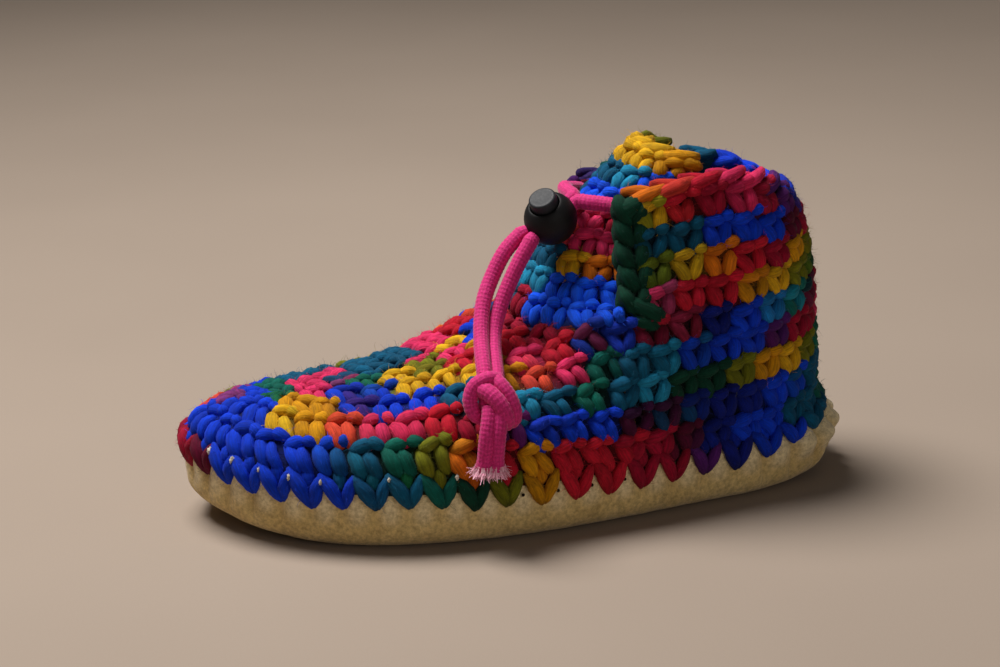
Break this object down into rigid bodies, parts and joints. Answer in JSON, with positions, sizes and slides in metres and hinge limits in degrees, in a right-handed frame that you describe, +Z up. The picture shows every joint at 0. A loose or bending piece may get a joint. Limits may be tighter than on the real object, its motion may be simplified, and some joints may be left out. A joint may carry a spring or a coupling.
{
  "type": "slipper",
  "caption": "Crocheted wool ankle slipper for the left foot with a turned-up suede sole, fleece insole, tongue, and a drawcord held by a ball cord lock.",
  "frame": {"origin": "on the floor under the middle of the slipper's overall length and width, free cord left out", "axes": "+Z up, toe towards -Y, heel towards +Y, outer side of the left foot towards +X"},
  "size_m": [0.098, 0.2044, 0.1085],
  "materials": {
    "suede": "napped suede, flesh side out",
    "fleece": "curly undyed sheep fleece",
    "wool": "bulky hand-dyed wool in single crochet, many colours",
    "plastic": "matt black moulded plastic",
    "cord": "round braided cord, hot pink"
  },
  "bodies": {
    "slipper": {"outsole": "suede", "insole": "fleece", "upper": "wool", "tongue": "wool", "lock_body": "plastic", "drawcord_bars": "cord", "drawcord_tail_outer": "cord", "drawcord_tail_inner": "cord", "drawcord_knot": "cord", "drawcord_end_outer": "cord", "drawcord_end_inner": "cord"},
    "button": {"lock_button": "plastic"}
  },
  "joints": [
    {"name": "button_press", "type": "slide", "parent": "slipper", "child": "button", "axis": [-0.3898, 0.3998, -0.8296], "range_m": [0, 0.0026], "stiffness_N_per_m": 600, "springref_m": -0.004}
  ]
}
